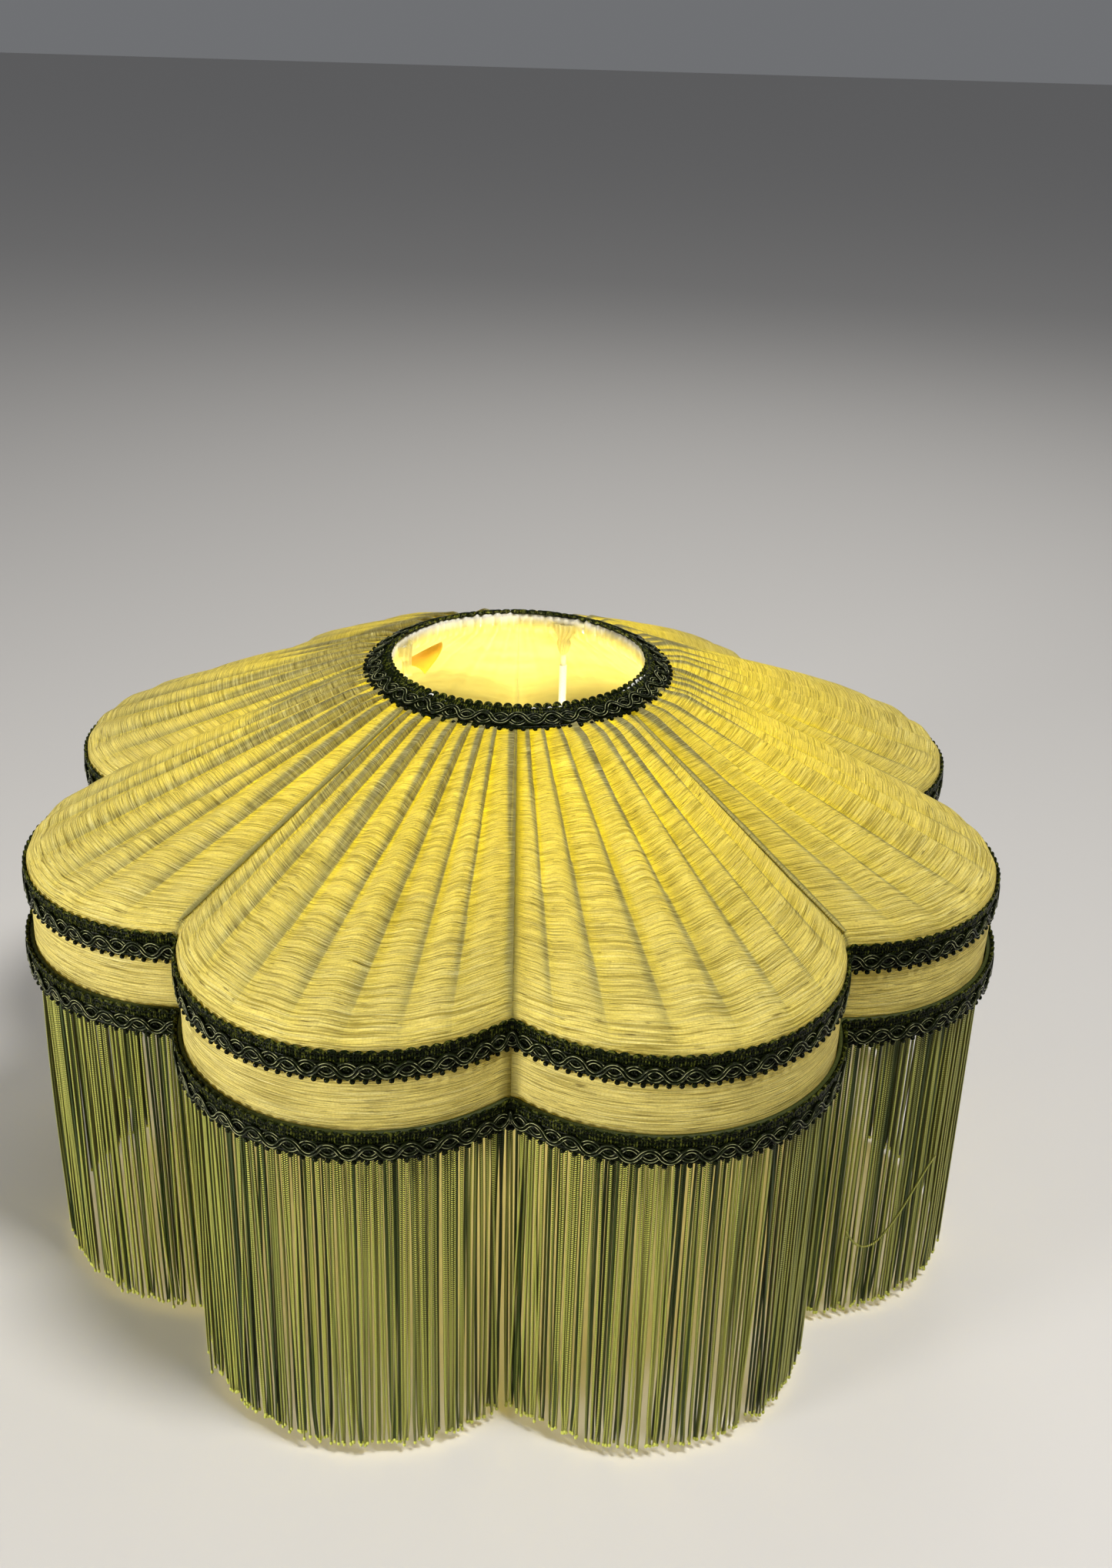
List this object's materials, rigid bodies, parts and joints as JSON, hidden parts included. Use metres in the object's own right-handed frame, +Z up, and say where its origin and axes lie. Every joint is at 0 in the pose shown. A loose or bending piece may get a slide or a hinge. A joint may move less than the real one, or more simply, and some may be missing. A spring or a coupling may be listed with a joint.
{
  "type": "lamp shade",
  "caption": "Scalloped fabric lamp shade with a gathered crown, upright collar, gimp braid and a deep hanging fringe on a wire frame.",
  "frame": {"origin": "centre of the fitter ring's bore, at the ring's lower face", "axes": "+Z up along the fitter bore's axis; -Y through notch 1 of the scallops, the front"},
  "size_m": [0.39, 0.39, 0.241],
  "materials": {
    "frame_wire": "satin white coating on steel wire",
    "fitter_metal": "satin white coating on pressed steel",
    "cotton_tape": "plain woven cotton tape",
    "cover_cloth": "slubbed silky weave, gathered",
    "gimp_braid": "dark plaited braid with soft sheen",
    "fringe_thread": "two-tone chainette strands with sheen",
    "lining_cloth": "pale satin-faced lining"
  },
  "bodies": {
    "root": {"top_ring": "frame_wire", "upper_scallop_ring": "frame_wire", "lower_scallop_ring": "frame_wire", "rib_1": "frame_wire", "rib_2": "frame_wire", "rib_3": "frame_wire", "rib_4": "frame_wire", "rib_5": "frame_wire", "rib_6": "frame_wire", "rib_7": "frame_wire", "rib_8": "frame_wire", "fitter_arm_1": "frame_wire", "fitter_arm_2": "frame_wire", "fitter_arm_3": "frame_wire", "fitter_arm_4": "frame_wire", "fitter_ring": "fitter_metal", "top_ring_tape": "cotton_tape", "scallop_ring_tapes": "cotton_tape", "rib_tapes": "cotton_tape", "arm_tapes": "cotton_tape", "cover_panel_1": "cover_cloth", "cover_panel_2": "cover_cloth", "cover_panel_3": "cover_cloth", "cover_panel_4": "cover_cloth", "cover_panel_5": "cover_cloth", "cover_panel_6": "cover_cloth", "cover_panel_7": "cover_cloth", "cover_panel_8": "cover_cloth", "collar_panel_1": "cover_cloth", "collar_panel_2": "cover_cloth", "collar_panel_3": "cover_cloth", "collar_panel_4": "cover_cloth", "collar_panel_5": "cover_cloth", "collar_panel_6": "cover_cloth", "collar_panel_7": "cover_cloth", "collar_panel_8": "cover_cloth", "top_gimp": "gimp_braid", "upper_gimp": "gimp_braid", "lower_gimp": "gimp_braid", "fringe_heading": "fringe_thread", "fringe_skirt_1": "fringe_thread", "fringe_skirt_2": "fringe_thread", "fringe_skirt_3": "fringe_thread", "fringe_skirt_4": "fringe_thread", "fringe_skirt_5": "fringe_thread", "fringe_skirt_6": "fringe_thread", "fringe_skirt_7": "fringe_thread", "fringe_skirt_8": "fringe_thread", "lining_panel_1": "lining_cloth", "lining_panel_2": "lining_cloth", "lining_panel_3": "lining_cloth", "lining_panel_4": "lining_cloth", "lining_panel_5": "lining_cloth", "lining_panel_6": "lining_cloth", "lining_panel_7": "lining_cloth", "lining_panel_8": "lining_cloth", "arm_wrap_1": "lining_cloth", "arm_wrap_2": "lining_cloth", "arm_wrap_3": "lining_cloth", "arm_wrap_4": "lining_cloth"}
  },
  "joints": []
}
